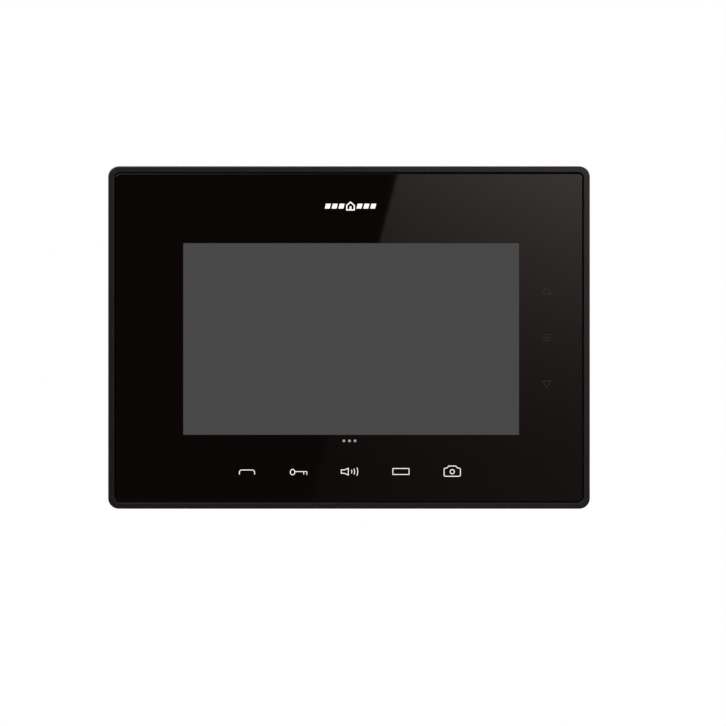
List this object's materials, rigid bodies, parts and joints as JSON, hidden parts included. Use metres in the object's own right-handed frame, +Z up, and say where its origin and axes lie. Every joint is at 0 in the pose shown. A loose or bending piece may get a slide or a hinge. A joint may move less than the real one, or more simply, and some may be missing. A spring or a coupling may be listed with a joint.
{
  "type": "video intercom monitor",
  "caption": "Flat wall-hung touch monitor: black glass front with screen and touch keys in a thin rim, rear housing with speaker and terminals, and a hooked steel wall bracket.",
  "frame": {"origin": "middle of the wall bracket's back face, on the wall", "axes": "+Z up, +X to the right as the viewer faces the screen, +Y into the wall; the glass faces -Y"},
  "size_m": [0.225, 0.026, 0.16],
  "materials": {
    "zinc_plated_steel": "zinc plated, fine rolled grain",
    "matt_black_plastic": "fine spark-eroded texture",
    "gloss_black_plastic": "satin to gloss moulded rim",
    "black_glass": "printed black behind, polished",
    "black_foam": "fine foam",
    "bright_tin": "bright tin plate",
    "display_panel": "matt polariser",
    "white_plastic": "moulded",
    "amber_film": "polyimide film",
    "green_circuit_board": "solder resist",
    "black_aluminium": "black anodised",
    "bright_aluminium": "drawn can",
    "ferrite": "pressed and ground",
    "green_terminal_plastic": "moulded",
    "red_switch_plastic": "moulded",
    "black_rubber": "moulded",
    "black_screw_steel": "black zinc plate",
    "paper_cone": "pressed paper, coated"
  },
  "bodies": {
    "wall_mount": {"wall_bracket": "zinc_plated_steel"},
    "monitor": {"rear_housing": "matt_black_plastic", "front_frame": "gloss_black_plastic", "front_glass": "black_glass", "glass_tape": "black_foam", "lcd_gasket": "black_foam", "lcd_bezel": "bright_tin", "lcd_cell": "display_panel", "backlight_tray": "white_plastic", "lcd_retainer_left": "zinc_plated_steel", "lcd_retainer_right": "zinc_plated_steel", "retainer_screw_left_lower": "zinc_plated_steel", "retainer_screw_left_upper": "zinc_plated_steel", "retainer_screw_right_lower": "zinc_plated_steel", "retainer_screw_right_upper": "zinc_plated_steel", "lcd_flex": "amber_film", "touch_board_bottom": "green_circuit_board", "touch_board_right": "green_circuit_board", "touch_spring_1": "bright_tin", "touch_spring_2": "bright_tin", "touch_spring_3": "bright_tin", "touch_spring_4": "bright_tin", "touch_spring_5": "bright_tin", "touch_spring_6": "bright_tin", "touch_spring_7": "bright_tin", "touch_spring_8": "bright_tin", "main_board": "green_circuit_board", "heatsink": "black_aluminium", "capacitor_1": "bright_aluminium", "capacitor_2": "bright_aluminium", "power_inductor": "ferrite", "terminal_block_bus": "green_terminal_plastic", "terminal_block_bell": "green_terminal_plastic", "dip_switch_body": "red_switch_plastic", "reset_switch_body": "matt_black_plastic", "board_screw_1": "zinc_plated_steel", "board_screw_2": "zinc_plated_steel", "board_screw_3": "zinc_plated_steel", "board_screw_4": "zinc_plated_steel", "speaker_gasket": "black_foam", "speaker_frame": "zinc_plated_steel", "speaker_magnet": "ferrite", "microphone_boot": "black_rubber", "microphone": "bright_aluminium", "speaker_lead": "black_rubber", "microphone_lead": "black_rubber", "bottom_keys_lead": "black_rubber", "side_keys_lead": "black_rubber", "housing_screw_1": "black_screw_steel", "housing_screw_2": "black_screw_steel", "housing_screw_3": "black_screw_steel", "housing_screw_4": "black_screw_steel", "housing_screw_5": "black_screw_steel", "housing_screw_6": "black_screw_steel"},
    "dip_slider_1": {"dip_slider_1": "white_plastic"},
    "dip_slider_2": {"dip_slider_2": "white_plastic"},
    "dip_slider_3": {"dip_slider_3": "white_plastic"},
    "dip_slider_4": {"dip_slider_4": "white_plastic"},
    "reset_button": {"reset_button": "matt_black_plastic"},
    "speaker_cone": {"speaker_cone": "paper_cone"}
  },
  "joints": [
    {"name": "lift_off", "type": "slide", "parent": "wall_mount", "child": "monitor", "axis": [0, 0, 1], "range_m": [0, 0.009]},
    {"name": "dip_1", "type": "slide", "parent": "monitor", "child": "dip_slider_1", "axis": [0, 0, 1], "range_m": [0, 0.002]},
    {"name": "dip_2", "type": "slide", "parent": "monitor", "child": "dip_slider_2", "axis": [0, 0, 1], "range_m": [0, 0.002]},
    {"name": "dip_3", "type": "slide", "parent": "monitor", "child": "dip_slider_3", "axis": [0, 0, 1], "range_m": [0, 0.002]},
    {"name": "dip_4", "type": "slide", "parent": "monitor", "child": "dip_slider_4", "axis": [0, 0, 1], "range_m": [0, 0.002]},
    {"name": "reset_press", "type": "slide", "parent": "monitor", "child": "reset_button", "axis": [0, -1, 0], "range_m": [0, 0.00025], "stiffness_N_per_m": 800, "springref_m": -0.002},
    {"name": "speaker_stroke", "type": "slide", "parent": "monitor", "child": "speaker_cone", "axis": [0, 1, 0], "range_m": [-0.0004, 0.0004], "stiffness_N_per_m": 2000}
  ]
}
